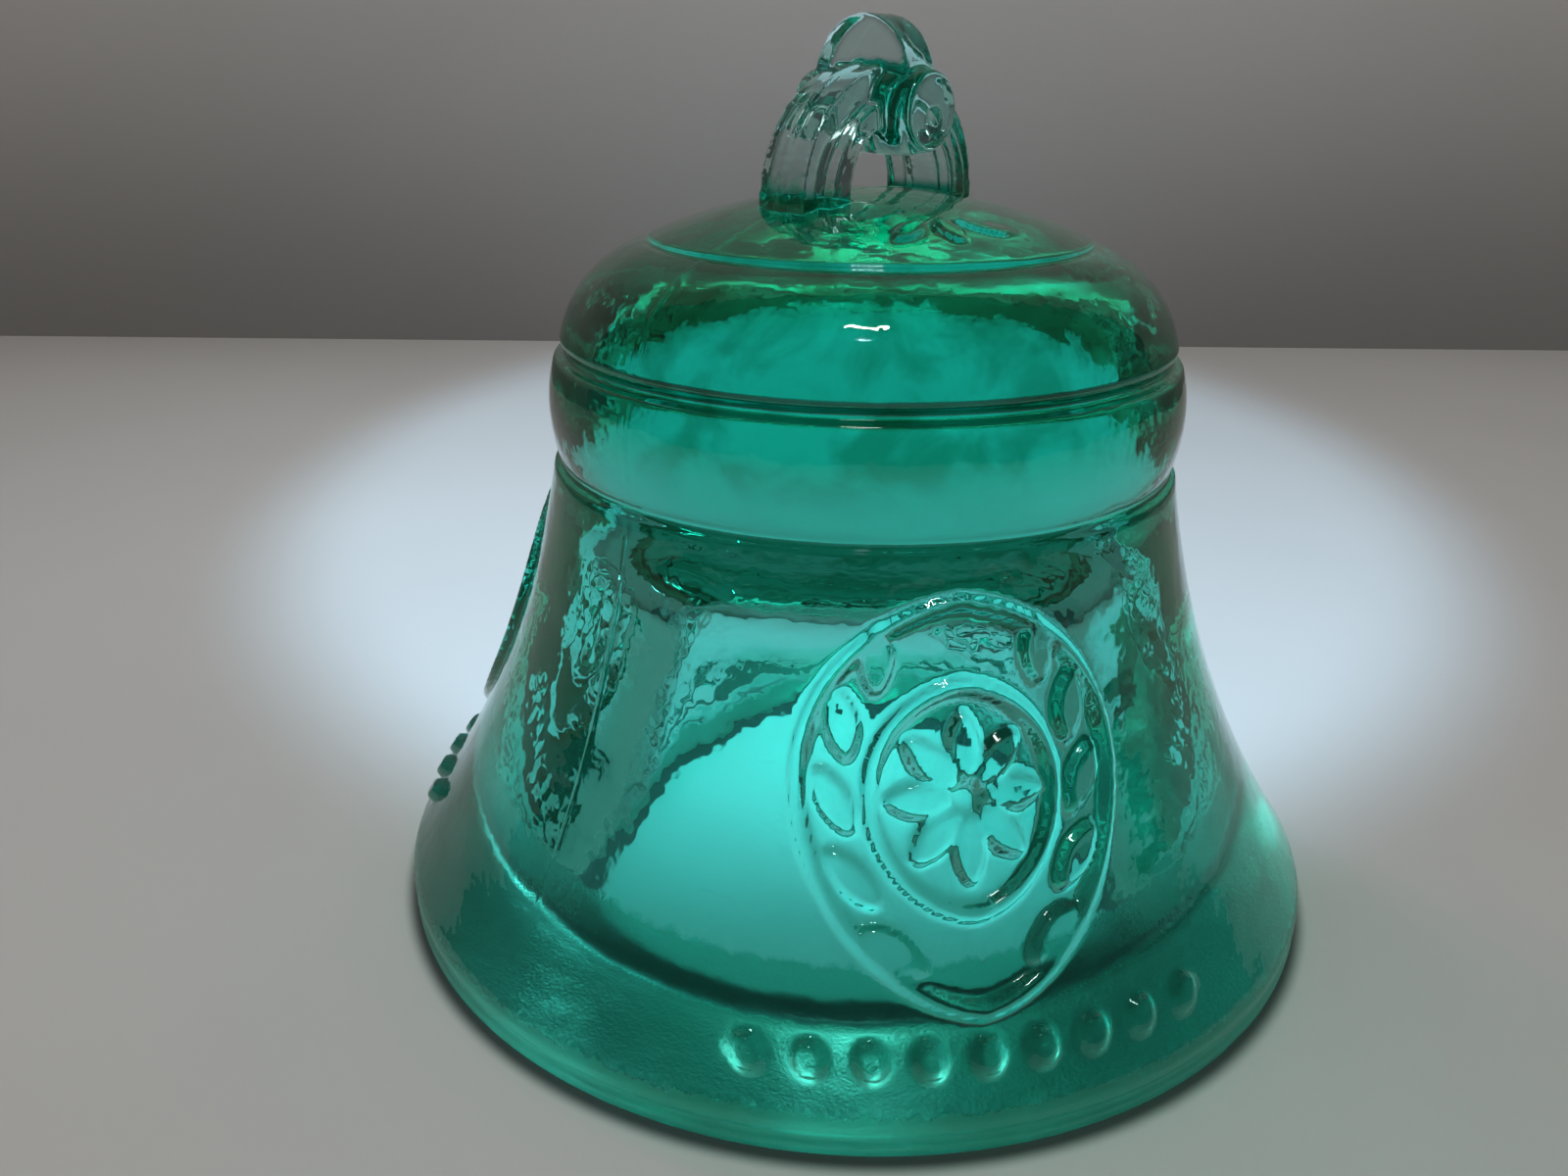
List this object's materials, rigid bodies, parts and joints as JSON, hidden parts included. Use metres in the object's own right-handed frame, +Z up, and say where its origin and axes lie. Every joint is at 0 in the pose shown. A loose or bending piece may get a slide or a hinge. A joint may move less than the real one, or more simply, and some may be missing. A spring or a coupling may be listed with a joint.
{
  "type": "glass bell paperweight",
  "caption": "Pressed glass bell with a solid domed top, a hollow flared waist and a canon-arch crown, used as a paperweight or ornament.",
  "frame": {"origin": "centre of the foot, on the plane that the bell stands on", "axes": "+Z up the bell's axis, +X along the trunnions, mould parting plane at X = 0"},
  "size_m": [0.089, 0.089, 0.0798],
  "materials": {
    "body_glass": "fire-polished pressed glass, teal green",
    "crown_glass": "fire-polished pressed glass, pale where thin",
    "relief_glass": "pressed glass relief, soft edges",
    "rim_glass": "pressed glass with a finely frosted edge"
  },
  "bodies": {
    "root": {"foot_rim": "rim_glass", "sound_bow": "body_glass", "waist": "body_glass", "shoulder": "body_glass", "belt": "body_glass", "dome": "body_glass", "crown_plate": "body_glass", "canon_arch": "crown_glass", "canon_rib_front": "crown_glass", "canon_rib_rear": "crown_glass", "trunnion_front": "crown_glass", "trunnion_rear": "crown_glass", "crown_lug": "crown_glass", "panel_frames": "relief_glass", "panel_leaves": "relief_glass", "panel_rosettes": "relief_glass", "rim_beads": "relief_glass", "plate_sprig": "relief_glass", "mould_seams": "relief_glass"}
  },
  "joints": []
}
